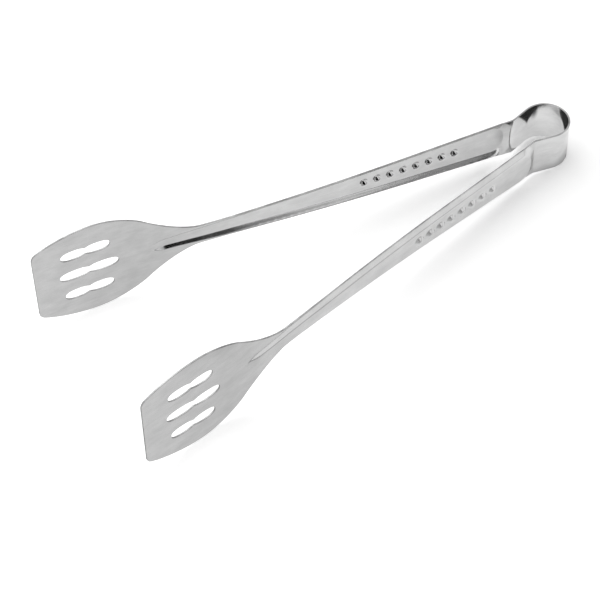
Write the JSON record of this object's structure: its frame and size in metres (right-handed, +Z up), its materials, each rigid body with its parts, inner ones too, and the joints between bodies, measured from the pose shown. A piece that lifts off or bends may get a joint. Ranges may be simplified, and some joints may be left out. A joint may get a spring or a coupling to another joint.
{
  "type": "salad tongs",
  "caption": "One-piece stainless steel serving tongs: a spring loop, two channelled arms with grip dimples, and flat slotted blades.",
  "frame": {"origin": "on the table under the middle of the whole object, which lies on its edges as in the picture", "axes": "+X from the blades towards the spring loop, +Y towards the left arm, +Z up from the table"},
  "size_m": [0.3022, 0.1132, 0.0624],
  "materials": {
    "stainless_steel": "satin brushed, bright along the pressed edges"
  },
  "bodies": {
    "spring_loop": {"spring_loop": "stainless_steel"},
    "left_arm": {"left_arm": "stainless_steel"},
    "right_arm": {"right_arm": "stainless_steel"}
  },
  "joints": [
    {"name": "left_arm_flex", "type": "hinge", "parent": "spring_loop", "child": "left_arm", "pos_m": [0.12239, 0.00975, 0.01424], "axis": [0.0705, 0, 0.9975], "range_deg": [-3, 11.5], "stiffness_Nm_per_rad": 12},
    {"name": "right_arm_flex", "type": "hinge", "parent": "spring_loop", "child": "right_arm", "pos_m": [0.12239, -0.00975, 0.01424], "axis": [0.0705, 0, 0.9975], "range_deg": [-11.5, 3], "stiffness_Nm_per_rad": 12}
  ],
  "couplings": [
    {"joint": "right_arm_flex", "follows": "left_arm_flex", "ratio": -1}
  ]
}
